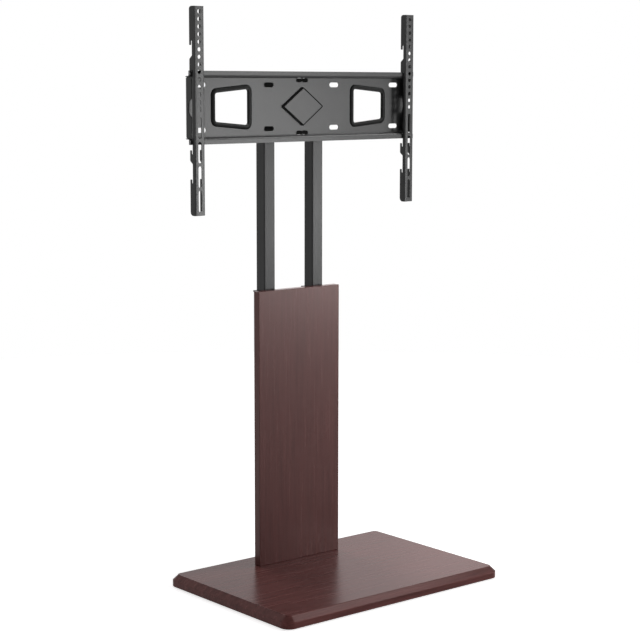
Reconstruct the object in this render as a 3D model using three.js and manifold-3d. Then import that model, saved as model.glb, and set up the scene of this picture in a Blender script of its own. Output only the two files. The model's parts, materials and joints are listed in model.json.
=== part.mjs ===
// Floor television stand with a height-adjustable, swivelling mount.
// Millimetres, +Z up, front towards -Y. The origin is on the floor under the swivel axis.

import * as THREE from 'three';
import { mergeVertices } from 'three/addons/utils/BufferGeometryUtils.js';
import Module from 'manifold-3d';

const wasm = await Module();
wasm.setup();

// Facet counts, clearances and the overrun of every cut
const arcSteps = 3;
const roundSteps = 16;
const holeSteps = 12;
const cutOverrun = 1;
const seatGap = 0.25;
const holeClearance = 0.4;
const weldGap = 0.1;
const fullTurn = 2 * Math.PI;
const halfTurn = Math.PI;
const quarterTurn = Math.PI / 2;

// Base board, standing on five thin pads
const baseWidth = 610;
const baseDepth = 420;
const baseRearReach = 48;
const boardThickness = 26;
const boardCornerRadius = 22;
const boardCornerSteps = 7;
const bevelWidth = 12;
const bevelHeight = 12;
const bevelBulge = 1.6;
const bevelSteps = 4;
const boardEase = 1.5;
const padRadius = 15;
const padHeight = 1.5;
const padInset = 48;

// Two posts in two sleeves, each a channel closed by a strip at its back
const postSpacing = 137;
const postSize = 30;
const postWall = 1.5;
const postCornerRadius = 2.5;
const postLength = 700;
const postTopAboveMount = 65;
const sleeveWall = 1.5;
const sleeveClearance = 0.2;
const sleeveBend = 0.5;
const collarDrop = 3.5;
const collarHeight = 3.3;
const collarOverhang = 3.8;
const collarCornerRadius = 2;
const collarClearance = 0.3;
const plugDepth = 12;
const plugFlange = 2.5;
const plugClearance = 0.35;
const glideProud = 0.1;

// Foot plate under the sleeves and its four bolts
const footPlateThickness = 4;
const footPlateFrontGap = 0.5;
const footTongueHalfWidth = 60;
const footTongueReach = 18;
const footCornerRadius = 4;
const footBoltRadius = 4;
const footBoltInset = 15;
const footBoltHeadWidth = 13;
const footBoltHeadHeight = 5.3;
const footBoltEnd = 2;
const footNutHeight = 6.5;
const counterboreRadius = 9.5;
const counterboreDepth = 7;

// Front panel, the straps behind it and their screws
const panelWidth = 230;
const panelHeight = 620;
const panelThickness = 19;
const panelCornerRadius = 1.5;
const panelEase = 1;
const strapThickness = 3;
const strapHeight = 40;
const strapHeightShares = [0.16, 0.86];
const panelScrewSpacing = 60;
const panelScrewRadius = 2;
const panelScrewLength = 14;
const panelScrewHeadRadius = 4;
const panelScrewHeadHeight = 2.5;

// Lock knobs of the height adjustment, on the facing sides of the sleeves
const lockDrop = 36;
const lockBossWidth = 13;
const lockBossHeight = 3;
const lockScrewRadius = 3;
const knobPanelGap = 1;
const knobThickness = 9;
const knobLobes = 5;
const knobReach = 21;
const knobLobeRadius = 6;
const knobHubRadius = 14;
const knobBevel = 1.5;

// Crossbar between the posts, with the pivot tube
const mountHeight = 1050.4;
const crossbarHeight = 40;
const crossbarDepth = 24;
const crossbarWall = 2.5;
const pivotTubeRadius = 11;
const pivotBoreRadius = 8;
const bushFlangeRadius = 12;
const bushFlangeHeight = 1.6;
const bushSpigot = 12;
const bushClearance = 0.2;

// Pivot bolt, its washers and nut
const pivotRadius = 6;
const pivotHeadWidth = 18;
const pivotHeadHeight = 7.5;
const pivotNutHeight = 10;
const pivotEnd = 4;
const washerRadius = 12;
const washerHeight = 2;

// Mount plate: a pressed pan with turned-out lips
const restSwivel = 5.25;
const plateSheet = 2;
const plateBend = 2;
const plateWidth = 686;
const plateHeight = 152;
const panDepth = 21.6;
const webSetback = 37.6;
const lipHeight = 10.8;
const lipOverrun = 7.4;
const endReliefGap = 1.4;
const notchHalfHeight = 19;
const notchDepth = 11.5;

// Windows of the plate, each with a trim ring
const windowPlaceShare = 0.6093;
const windowWidth = 96;
const windowTallMargin = 37.7;
const windowShortMargin = 46;
const windowCornerRadius = 5.5;
const trimWidth = 10;
const trimProud = 3;
const trimWall = 2.2;
const trimSnap = 1.3;
const trimRearProud = 1.6;
const trimCrownShares = [[0.8, 0.55], [0.45, 0.95], [0.1, 1], [0, 0.7]];

// Slots of the plate
const slotLength = 30;
const slotWidth = 10.4;
const slotMargin = 28.9;
const slotPlaceShares = [0.2924, 0.86];
const lobeLength = 19;
const lobeWidth = 9.6;
const lobeSpread = 8.85;
const lobeMargin = 18.7;

// Diamond cap
const diamondHalfWidth = 62.6;
const diamondHalfHeight = 42.6;
const diamondProud = 4.2;
const diamondWall = 1.2;
const diamondCornerRadius = 2.5;
const diamondEase = 0.6;

// Swivel bracket behind the plate, and the bolts between them
const bracketSheet = 3;
const bracketBend = 3;
const bracketWidth = 96;
const bracketMargin = 15.5;
const bracketCornerRadius = 8;
const earHalfWidth = 26;
const earEndRadius = 15;
const earNeck = 6.35;
const tabProud = 0.8;
const tabClearance = 0.5;
const plateBoltRadius = 3;
const plateBoltHeadRadius = 5.5;
const plateBoltHeadHeight = 2.6;
const plateBoltShare = 0.35;
const plateNutWidth = 10;
const plateNutHeight = 5;
const plateBoltEnd = 1.5;
const socketWidth = 4;
const socketDepth = 1.5;

// Arms: hooked U-channels
const armLength = 430;
const armWidth = 28;
const armSheet = 1.6;
const armBend = 1.6;
const armNarrowDepth = 7.5;
const armLipGap = 0.3;
const armEndInset = 21.5;
const hookSlotWidth = 3;
const hookToothWidth = 5;
const hookToothLength = 9;
const hookTipRadius = 1.2;
const mainHookShare = 0.696;
const upperHookRise = 60.6;
const lowerTabClearance = 11.1;
const lowerHookDrop = 60.2;
const lowerToothLength = 7.8;
const shoulderLength = 9;
const shoulderLead = 2.25;
const shoulderRadius = 4.5;
const mainHookBody = 30.5;
const lowerTabBody = 19.8;
const armTopCornerRadius = 6;
const armBottomCornerRadius = 8;
const armHoleRadius = 4.3;
const armHolePitch = 15.35;
const armHoleTopInset = 11;
const armHoleSlotGap = 15;
const armSlotCount = 4;
const armSlotLength = 44.5;
const armSlotPitch = 50.4;
const armSlotBottomInset = 30.3;

// Sizes worked out from the ones above
const boardTop = padHeight + boardThickness;
const baseCentreY = baseRearReach - baseDepth / 2;
const panelTop = boardTop + panelHeight;
const sleeveSize = postSize + 2 * (sleeveClearance + sleeveWall);
const sleeveBottom = boardTop + footPlateThickness;
const sleeveTop = panelTop - collarDrop - collarHeight;
const postX = postSpacing / 2;
const postBore = postSize - 2 * postWall;
const postTop = mountHeight + postTopAboveMount;
const postBottom = postTop - postLength;
const footHalfWidth = postX + sleeveSize / 2;
const lockY = knobReach + knobPanelGap - sleeveSize / 2;
const lockZ = sleeveTop - lockDrop;
const lockFaceX = postX - sleeveSize / 2;
const webBack = -webSetback;
const webFront = webBack - plateSheet;
const lipFront = webBack - panDepth;
const panFlangeZ = plateHeight / 2 - lipHeight - plateSheet / 2;
const endFlangeX = plateWidth / 2 - lipOverrun;
const windowX = (plateWidth / 2) * windowPlaceShare;
const windowTallHalf = plateHeight / 2 - windowTallMargin;
const windowShortHalf = plateHeight / 2 - windowShortMargin;
const slotRise = plateHeight / 2 - slotMargin;
const lobeRise = plateHeight / 2 - lobeMargin;
const bracketFront = webBack + seatGap;
const bracketBack = bracketFront + bracketSheet;
const earInner = crossbarHeight / 2 + 2 * seatGap + bushFlangeHeight;
const earOuter = earInner + bracketSheet;
const plateBoltX = diamondHalfWidth * plateBoltShare;
const plateBoltZ = earInner - bracketBend - plateNutWidth / 2 - seatGap;
const armFront = lipFront - armLipGap - armNarrowDepth;
const armNarrowY = armFront + armNarrowDepth;
const armRearY = armNarrowY + hookSlotWidth + hookToothWidth;
const armRestX = plateWidth / 2 - armEndInset;
const mainHookHeight = armLength * mainHookShare;
const upperHookHeight = mainHookHeight + upperHookRise;
const lowerTabHeight = mainHookHeight - armLipGap - plateHeight - lowerTabClearance - lowerToothLength;
const lowerHookHeight = lowerTabHeight - lowerHookDrop;
const armBottom = plateHeight / 2 + armLipGap - mainHookHeight;

// Colours, read from the object
const steelPaint = { color: 0x3a3c3e, roughness: 0.5, metalness: 0.4 };
const blackPlastic = { color: 0x151515, roughness: 0.45, metalness: 0 };
const wood = { color: 0x4b2d2c, roughness: 0.4, metalness: 0 };
const zinc = { color: 0x9a9ca0, roughness: 0.35, metalness: 0.9 };
const rubber = { color: 0x1c1c1c, roughness: 0.9, metalness: 0 };

// Solid helpers

function solid(geometry) {
  const plain = geometry.index ? geometry.toNonIndexed() : geometry.clone();
  plain.deleteAttribute('normal');
  plain.deleteAttribute('uv');
  const merged = mergeVertices(plain);
  const vertProperties = new Float32Array(merged.attributes.position.array);
  const triVerts = new Uint32Array(merged.index.array);
  return new wasm.Manifold(new wasm.Mesh({ numProp: 3, vertProperties, triVerts }));
}

function geometryOf(body) {
  const mesh = body.getMesh();
  const geometry = new THREE.BufferGeometry();
  geometry.setAttribute('position', new THREE.BufferAttribute(new Float32Array(mesh.vertProperties), 3));
  geometry.setIndex(new THREE.BufferAttribute(new Uint32Array(mesh.triVerts), 1));
  geometry.computeVertexNormals();
  return geometry;
}

function shapeOf(points) {
  return new THREE.Shape(points.map((p) => new THREE.Vector2(p[0], p[1])));
}

// A prism of a shape drawn in XY, from z = low to z = high
function prismZ(shape, low, high, steps = arcSteps) {
  const geometry = new THREE.ExtrudeGeometry(shape, {
    depth: high - low,
    bevelEnabled: false,
    curveSegments: steps,
  });
  geometry.translate(0, 0, low);
  return solid(geometry);
}

// A prism of a shape drawn in XZ, from y = low to y = high
function prismY(shape, low, high, steps = arcSteps) {
  const geometry = new THREE.ExtrudeGeometry(shape, {
    depth: high - low,
    bevelEnabled: false,
    curveSegments: steps,
  });
  geometry.rotateX(quarterTurn);
  geometry.translate(0, high, 0);
  return solid(geometry);
}

// A prism of a shape drawn in YZ, from x = low to x = high
function prismX(shape, low, high, steps = arcSteps) {
  const geometry = new THREE.ExtrudeGeometry(shape, {
    depth: high - low,
    bevelEnabled: false,
    curveSegments: steps,
  });
  geometry.rotateX(quarterTurn);
  geometry.rotateZ(quarterTurn);
  geometry.translate(low, 0, 0);
  return solid(geometry);
}

function rodZ(radius, low, high, x = 0, y = 0, steps = roundSteps) {
  const geometry = new THREE.CylinderGeometry(radius, radius, high - low, steps);
  geometry.rotateX(quarterTurn);
  geometry.translate(x, y, (low + high) / 2);
  return solid(geometry);
}

function rodY(radius, low, high, x = 0, z = 0, steps = roundSteps) {
  const geometry = new THREE.CylinderGeometry(radius, radius, high - low, steps);
  geometry.translate(x, (low + high) / 2, z);
  return solid(geometry);
}

function rodX(radius, low, high, y = 0, z = 0, steps = roundSteps) {
  const geometry = new THREE.CylinderGeometry(radius, radius, high - low, steps);
  geometry.rotateZ(quarterTurn);
  geometry.translate((low + high) / 2, y, z);
  return solid(geometry);
}

function block(lowX, highX, lowY, highY, lowZ, highZ) {
  const geometry = new THREE.BoxGeometry(highX - lowX, highY - lowY, highZ - lowZ);
  geometry.translate((lowX + highX) / 2, (lowY + highY) / 2, (lowZ + highZ) / 2);
  return solid(geometry);
}

function hexagon(width) {
  const radius = width / Math.sqrt(3);
  const points = [];
  for (let side = 0; side < 6; side += 1) {
    const angle = (side / 6) * fullTurn;
    points.push([radius * Math.cos(angle), radius * Math.sin(angle)]);
  }
  return shapeOf(points);
}

// A closed outline whose corners [a, b, radius] are rounded by arcs
function roundedPoints(corners, steps = arcSteps) {
  const points = [];
  corners.forEach((corner, index) => {
    const before = corners[(index + corners.length - 1) % corners.length];
    const after = corners[(index + 1) % corners.length];
    const radius = corner[2] || 0;
    if (radius === 0) {
      points.push([corner[0], corner[1]]);
      return;
    }
    const here = new THREE.Vector2(corner[0], corner[1]);
    const back = new THREE.Vector2(before[0], before[1]).sub(here).normalize();
    const ahead = new THREE.Vector2(after[0], after[1]).sub(here).normalize();
    const half = Math.acos(THREE.MathUtils.clamp(back.dot(ahead), -1, 1)) / 2;
    const bisector = back.clone().add(ahead).normalize();
    const centre = here.clone().addScaledVector(bisector, radius / Math.sin(half));
    const start = here.clone().addScaledVector(back, radius / Math.tan(half)).sub(centre);
    const end = here.clone().addScaledVector(ahead, radius / Math.tan(half)).sub(centre);
    const sweep = Math.atan2(start.cross(end), start.dot(end));
    for (let step = 0; step <= steps; step += 1) {
      const turned = start.clone().rotateAround(new THREE.Vector2(0, 0), (sweep * step) / steps);
      points.push([centre.x + turned.x, centre.y + turned.y]);
    }
  });
  return points;
}

function roundedRectangle(width, height, radius, steps = arcSteps) {
  const halfWidth = width / 2;
  const halfHeight = height / 2;
  return roundedPoints([
    [halfWidth, -halfHeight, radius],
    [halfWidth, halfHeight, radius],
    [-halfWidth, halfHeight, radius],
    [-halfWidth, -halfHeight, radius],
  ], steps);
}

function obround(length, width, x = 0, y = 0) {
  const reach = (length - width) / 2;
  const shape = new THREE.Shape();
  shape.moveTo(x - reach, y - width / 2);
  shape.lineTo(x + reach, y - width / 2);
  shape.absarc(x + reach, y, width / 2, -quarterTurn, quarterTurn, false);
  shape.lineTo(x - reach, y + width / 2);
  shape.absarc(x - reach, y, width / 2, quarterTurn, quarterTurn + halfTurn, false);
  return shape;
}

// The outline of a bent sheet: a centre line given thickness, with rounded bends
function bentSheet(centreLine, thickness, innerBend, steps = arcSteps) {
  const sides = [thickness / 2, -thickness / 2].map((offset) => {
    const corners = centreLine.map((point, index) => {
      const before = centreLine[Math.max(index - 1, 0)];
      const after = centreLine[Math.min(index + 1, centreLine.length - 1)];
      const here = new THREE.Vector2(point[0], point[1]);
      const along = new THREE.Vector2(after[0] - point[0], after[1] - point[1]);
      const into = new THREE.Vector2(point[0] - before[0], point[1] - before[1]);
      if (along.length() === 0) along.copy(into);
      if (into.length() === 0) into.copy(along);
      along.normalize();
      into.normalize();
      const normal = new THREE.Vector2(-into.y - along.y, into.x + along.x).normalize();
      const share = 1 / normal.dot(new THREE.Vector2(-along.y, along.x));
      here.addScaledVector(normal, offset * share);
      const turn = into.cross(along);
      const inside = turn * offset > 0;
      const bent = Math.abs(turn) > 0;
      const radius = inside ? innerBend : innerBend + thickness;
      return [here.x, here.y, bent ? radius : 0];
    });
    return corners;
  });
  return shapeOf(roundedPoints([...sides[0], ...sides[1].reverse()], steps));
}

// A stack of outlines with like numbers of points, closed at both ends.
// place(point, level) puts an outline's point in space
function stacked(outlines, place) {
  const count = outlines[0].length;
  const positions = [];
  outlines.forEach((outline, level) => {
    outline.forEach((point) => positions.push(...place(point, level)));
  });
  const index = [];
  for (let level = 0; level < outlines.length - 1; level += 1) {
    for (let side = 0; side < count; side += 1) {
      const next = (side + 1) % count;
      const low = level * count;
      const high = low + count;
      index.push(low + side, low + next, high + next);
      index.push(low + side, high + next, high + side);
    }
  }
  const faces = THREE.ShapeUtils.triangulateShape(outlines[0].map((p) => new THREE.Vector2(p[0], p[1])), []);
  const top = (outlines.length - 1) * count;
  faces.forEach((face) => {
    index.push(face[2], face[1], face[0]);
    index.push(top + face[0], top + face[1], top + face[2]);
  });
  const geometry = new THREE.BufferGeometry();
  geometry.setAttribute('position', new THREE.Float32BufferAttribute(positions, 3));
  geometry.setIndex(index);
  return solid(geometry);
}

// A ring swept along a closed outline: profile points are [offset, depth]
function ringAlong(outlineAt, profile, place) {
  const outlines = profile.map((point) => outlineAt(point[0]));
  const count = outlines[0].length;
  const positions = [];
  outlines.forEach((outline, level) => {
    outline.forEach((point) => positions.push(...place(point, profile[level][1])));
  });
  const index = [];
  for (let level = 0; level < outlines.length; level += 1) {
    const low = level * count;
    const high = ((level + 1) % outlines.length) * count;
    for (let side = 0; side < count; side += 1) {
      const next = (side + 1) % count;
      index.push(low + side, low + next, high + next);
      index.push(low + side, high + next, high + side);
    }
  }
  const geometry = new THREE.BufferGeometry();
  geometry.setAttribute('position', new THREE.Float32BufferAttribute(positions, 3));
  geometry.setIndex(index);
  return solid(geometry);
}

// A convex outline moved outwards by an offset, its rounded corners with it
function offsetOutline(corners, radius, offset, steps = arcSteps) {
  const moved = corners.map((corner, index) => {
    const before = corners[(index + corners.length - 1) % corners.length];
    const after = corners[(index + 1) % corners.length];
    const into = new THREE.Vector2(corner[0] - before[0], corner[1] - before[1]).normalize();
    const along = new THREE.Vector2(after[0] - corner[0], after[1] - corner[1]).normalize();
    const normal = new THREE.Vector2(into.y + along.y, -into.x - along.x).normalize();
    const share = 1 / normal.dot(new THREE.Vector2(along.y, -along.x));
    return [corner[0] + normal.x * offset * share, corner[1] + normal.y * offset * share, radius + offset];
  });
  return roundedPoints(moved, steps);
}

// Pieces are drawn for the right side; sign is -1 for the left one
function mirrored(body, sign) {
  return sign > 0 ? body : body.mirror([1, 0, 0]);
}

function addPiece(group, name, body, finish) {
  const mesh = new THREE.Mesh(geometryOf(body), new THREE.MeshStandardMaterial(finish));
  mesh.name = name;
  group.add(mesh);
  return mesh;
}

// Base board: rounded plan corners, an eased lower edge and a slightly convex top bevel
function baseBoard() {
  const levels = [
    [boardEase, padHeight],
    [0, padHeight + boardEase],
    [0, boardTop - bevelHeight],
  ];
  for (let step = 1; step <= bevelSteps; step += 1) {
    const share = step / bevelSteps;
    const bulge = (bevelBulge * Math.sin(halfTurn * share)) / Math.SQRT2;
    levels.push([bevelWidth * share - bulge, boardTop - bevelHeight * (1 - share) + bulge]);
  }
  const outlines = levels.map(([inset]) => roundedRectangle(
    baseWidth - 2 * inset,
    baseDepth - 2 * inset,
    boardCornerRadius - inset,
    boardCornerSteps,
  ));
  let board = stacked(outlines, (point, level) => [point[0], point[1] + baseCentreY, levels[level][1]]);
  footBoltPlaces().forEach(([x, y]) => {
    board = board.subtract(rodZ(footBoltRadius + holeClearance, -cutOverrun, boardTop + cutOverrun, x, y));
    board = board.subtract(rodZ(counterboreRadius, -cutOverrun, padHeight + counterboreDepth, x, y));
  });
  return board;
}

function padPlaces() {
  const reachX = baseWidth / 2 - padInset;
  const rearY = baseCentreY + baseDepth / 2 - padInset;
  const frontY = baseCentreY - baseDepth / 2 + padInset;
  return [
    ['base_pad_front_left', -reachX, frontY],
    ['base_pad_front_right', reachX, frontY],
    ['base_pad_rear_left', -reachX, rearY],
    ['base_pad_rear_right', reachX, rearY],
    ['base_pad_centre', 0, 0],
  ];
}

// Two bolts inside the sleeves and two on the plate's rear tongue
function footBoltPlaces() {
  const rearY = sleeveSize / 2 + footTongueReach / 2;
  const rearX = footTongueHalfWidth - footBoltInset;
  return [[-postX, 0], [postX, 0], [-rearX, rearY], [rearX, rearY]];
}

function footPlate() {
  const front = footPlateFrontGap - sleeveSize / 2;
  const middle = sleeveSize / 2;
  const rear = middle + footTongueReach;
  const outline = roundedPoints([
    [-footHalfWidth, front, footCornerRadius],
    [footHalfWidth, front, footCornerRadius],
    [footHalfWidth, middle, footCornerRadius],
    [footTongueHalfWidth, middle, 0],
    [footTongueHalfWidth, rear, footCornerRadius],
    [-footTongueHalfWidth, rear, footCornerRadius],
    [-footTongueHalfWidth, middle, 0],
    [-footHalfWidth, middle, footCornerRadius],
  ]);
  let plate = prismZ(shapeOf(outline), boardTop, sleeveBottom);
  const holeRadius = footBoltRadius + holeClearance;
  footBoltPlaces().forEach(([x, y]) => {
    plate = plate.subtract(rodZ(holeRadius, boardTop - cutOverrun, sleeveBottom + cutOverrun, x, y));
  });
  return plate;
}

function footBolt(x, y) {
  const headTop = padHeight + counterboreDepth - seatGap;
  const head = prismZ(hexagon(footBoltHeadWidth), headTop - footBoltHeadHeight, headTop).translate([x, y, 0]);
  const end = sleeveBottom + seatGap + footNutHeight + footBoltEnd;
  return head.add(rodZ(footBoltRadius, headTop - footBoltHeadHeight / 2, end, x, y));
}

function footNut(x, y) {
  const low = sleeveBottom + seatGap;
  const high = low + footNutHeight;
  const nut = prismZ(hexagon(footBoltHeadWidth), low, high).translate([x, y, 0]);
  return nut.subtract(rodZ(footBoltRadius + seatGap, low - cutOverrun, high + cutOverrun, x, y));
}

function post(x) {
  const outer = prismZ(shapeOf(roundedRectangle(postSize, postSize, postCornerRadius)), postBottom, postTop);
  const inner = shapeOf(roundedRectangle(postBore, postBore, postCornerRadius - postWall));
  return outer.subtract(prismZ(inner, postBottom - cutOverrun, postTop + cutOverrun)).translate([x, 0, 0]);
}

// Right sleeve: a channel open to the back, with the lock screw's hole in its inner side
function sleeve() {
  const reach = (sleeveSize - sleeveWall) / 2;
  const section = bentSheet([
    [-reach, sleeveSize / 2],
    [-reach, -reach],
    [reach, -reach],
    [reach, sleeveSize / 2],
  ], sleeveWall, sleeveBend);
  const channel = prismZ(section, sleeveBottom, sleeveTop).translate([postX, 0, 0]);
  const hole = rodX(
    lockScrewRadius + holeClearance,
    lockFaceX - cutOverrun,
    lockFaceX + sleeveWall + cutOverrun,
    lockY,
    lockZ,
  );
  return channel.subtract(hole);
}

// Strip welded over the channel's open back
function sleeveBack(x) {
  const low = sleeveSize / 2 + weldGap;
  const reach = sleeveSize / 2;
  return block(x - reach, x + reach, low, low + sleeveWall, sleeveBottom, sleeveTop);
}

// Collar of the right sleeve: flush with it in front, wider on the other three sides
function sleeveCollar() {
  const reach = sleeveSize / 2 + collarOverhang;
  const front = -sleeveSize / 2;
  const outline = roundedPoints([
    [-reach, front, collarCornerRadius],
    [reach, front, collarCornerRadius],
    [reach, reach, collarCornerRadius],
    [-reach, reach, collarCornerRadius],
  ]);
  const bore = postSize + 2 * collarClearance;
  const flange = prismZ(shapeOf(outline), sleeveTop, sleeveTop + collarHeight);
  const hole = shapeOf(roundedRectangle(bore, bore, postCornerRadius));
  const cutter = prismZ(hole, sleeveTop - cutOverrun, sleeveTop + collarHeight + cutOverrun);
  return flange.subtract(cutter).translate([postX, 0, 0]);
}

// Panel with softly rounded edges and four blind pilot holes in its back
function frontPanel() {
  const back = -sleeveSize / 2;
  const front = back - panelThickness;
  const ease = panelEase * (1 - Math.SQRT1_2);
  const levels = [
    [panelEase, back],
    [ease, back - ease],
    [0, back - panelEase],
    [0, front + panelEase],
    [ease, front + ease],
    [panelEase, front],
  ];
  const outlines = levels.map(([inset]) => roundedRectangle(
    panelWidth - 2 * inset,
    panelHeight - 2 * inset,
    panelCornerRadius - inset,
  ));
  const middle = (boardTop + panelTop) / 2;
  let panel = stacked(outlines, (point, level) => [point[0], levels[level][1], point[1] + middle]);
  const pilotRadius = panelScrewRadius + seatGap;
  panelScrewPlaces().forEach(([x, z]) => {
    panel = panel.subtract(rodY(pilotRadius, back - panelScrewLength, back + cutOverrun, x, z, holeSteps));
  });
  return panel;
}

function strapCentres() {
  return strapHeightShares.map((share) => sleeveBottom + (sleeveTop - sleeveBottom) * share);
}

function panelScrewPlaces() {
  const places = [];
  strapCentres().forEach((z) => {
    places.push([-panelScrewSpacing / 2, z]);
    places.push([panelScrewSpacing / 2, z]);
  });
  return places;
}

function panelStrap(z) {
  const reach = lockFaceX - weldGap;
  const front = -sleeveSize / 2;
  let strap = block(-reach, reach, front, front + strapThickness, z - strapHeight / 2, z + strapHeight / 2);
  [-panelScrewSpacing / 2, panelScrewSpacing / 2].forEach((x) => {
    const hole = rodY(
      panelScrewRadius + holeClearance,
      front - cutOverrun,
      front + strapThickness + cutOverrun,
      x,
      z,
      holeSteps,
    );
    strap = strap.subtract(hole);
  });
  return strap;
}

function panelScrew(x, z) {
  const seat = strapThickness - sleeveSize / 2 + seatGap;
  const profile = [
    new THREE.Vector2(0, 0),
    new THREE.Vector2(panelScrewHeadRadius, 0),
    new THREE.Vector2(panelScrewHeadRadius, panelScrewHeadHeight / 2),
    new THREE.Vector2(panelScrewHeadRadius * Math.SQRT1_2, panelScrewHeadHeight),
    new THREE.Vector2(0, panelScrewHeadHeight),
  ];
  const head = new THREE.LatheGeometry(profile, holeSteps);
  head.translate(0, seat, 0);
  const tip = seat - strapThickness - panelScrewLength;
  const shank = rodY(panelScrewRadius, tip, seat + panelScrewHeadHeight / 2, 0, 0, holeSteps);
  return solid(head).add(shank).translate([x, 0, z]);
}

function lockBoss() {
  const high = lockFaceX - seatGap;
  const low = high - lockBossHeight;
  const nut = prismX(hexagon(lockBossWidth), low, high);
  const bore = rodX(lockScrewRadius + seatGap, low - cutOverrun, high + cutOverrun);
  return nut.subtract(bore).translate([0, lockY, lockZ]);
}

// Knob with round lobes, one of them straight up, and its screw as one piece
function lockKnob() {
  const high = lockFaceX - 2 * seatGap - lockBossHeight;
  const low = high - knobThickness;
  let knob = rodX(knobHubRadius, low, high);
  for (let lobe = 0; lobe < knobLobes; lobe += 1) {
    const angle = quarterTurn + (lobe / knobLobes) * fullTurn;
    const reach = knobReach - knobLobeRadius;
    const geometry = new THREE.LatheGeometry([
      new THREE.Vector2(0, 0),
      new THREE.Vector2(knobLobeRadius - knobBevel, 0),
      new THREE.Vector2(knobLobeRadius, knobBevel),
      new THREE.Vector2(knobLobeRadius, knobThickness - knobBevel),
      new THREE.Vector2(knobLobeRadius - knobBevel, knobThickness),
      new THREE.Vector2(0, knobThickness),
    ], holeSteps);
    geometry.rotateZ(-quarterTurn);
    geometry.translate(low, reach * Math.cos(angle), reach * Math.sin(angle));
    knob = knob.add(solid(geometry));
  }
  const tip = postX - postSize / 2 - seatGap;
  return knob.add(rodX(lockScrewRadius, low + knobThickness / 2, tip)).translate([0, lockY, lockZ]);
}

// Plastic end plug: a flange as wide as the tube, and a spigot inside it
function tubePlug(x, end, direction, flangeSize) {
  const flangeLow = direction > 0 ? end : end - plugFlange;
  const flange = prismZ(
    shapeOf(roundedRectangle(flangeSize, flangeSize, postCornerRadius)),
    flangeLow,
    flangeLow + plugFlange,
  );
  const spigotSize = postBore - 2 * plugClearance;
  const spigotLow = direction > 0 ? end - plugDepth : end - plugFlange / 2;
  const spigotHigh = direction > 0 ? end + plugFlange / 2 : end + plugDepth;
  const spigot = prismZ(
    shapeOf(roundedRectangle(spigotSize, spigotSize, postWall)),
    spigotLow,
    spigotHigh,
  );
  return flange.add(spigot).translate([x, 0, 0]);
}

// Box beam between the posts, with the vertical pivot tube through it
function crossbar() {
  const reach = postX - postSize / 2;
  const halfDepth = crossbarDepth / 2;
  const halfHeight = crossbarHeight / 2;
  const outer = block(-reach, reach, -halfDepth, halfDepth, -halfHeight, halfHeight);
  const inner = block(
    -reach - cutOverrun,
    reach + cutOverrun,
    crossbarWall - halfDepth,
    halfDepth - crossbarWall,
    crossbarWall - halfHeight,
    halfHeight - crossbarWall,
  );
  const tube = rodZ(pivotTubeRadius, -halfHeight, halfHeight);
  const bore = rodZ(pivotBoreRadius, -halfHeight - cutOverrun, halfHeight + cutOverrun);
  return outer.subtract(inner).add(tube).subtract(bore).translate([0, 0, mountHeight]);
}

// Flanged bush, turned round its own axis; side is 1 for the upper one
function pivotBush(side) {
  const seat = crossbarHeight / 2;
  const inner = pivotRadius + bushClearance;
  const outer = pivotBoreRadius - bushClearance;
  const profile = [
    new THREE.Vector2(inner, seat - bushSpigot),
    new THREE.Vector2(outer, seat - bushSpigot),
    new THREE.Vector2(outer, seat + seatGap),
    new THREE.Vector2(bushFlangeRadius, seat + seatGap),
    new THREE.Vector2(bushFlangeRadius, seat + seatGap + bushFlangeHeight),
    new THREE.Vector2(inner, seat + seatGap + bushFlangeHeight),
    new THREE.Vector2(inner, seat - bushSpigot),
  ];
  const geometry = new THREE.LatheGeometry(profile, roundSteps);
  geometry.rotateX(side * quarterTurn);
  geometry.translate(0, 0, mountHeight);
  return solid(geometry);
}

function windowCorners(side) {
  const inner = windowX - windowWidth / 2;
  const outer = windowX + windowWidth / 2;
  const corners = [
    [inner, -windowTallHalf],
    [outer, -windowShortHalf],
    [outer, windowShortHalf],
    [inner, windowTallHalf],
  ];
  return side > 0 ? corners : corners.map(([x, z]) => [-x, z]).reverse();
}

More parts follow.
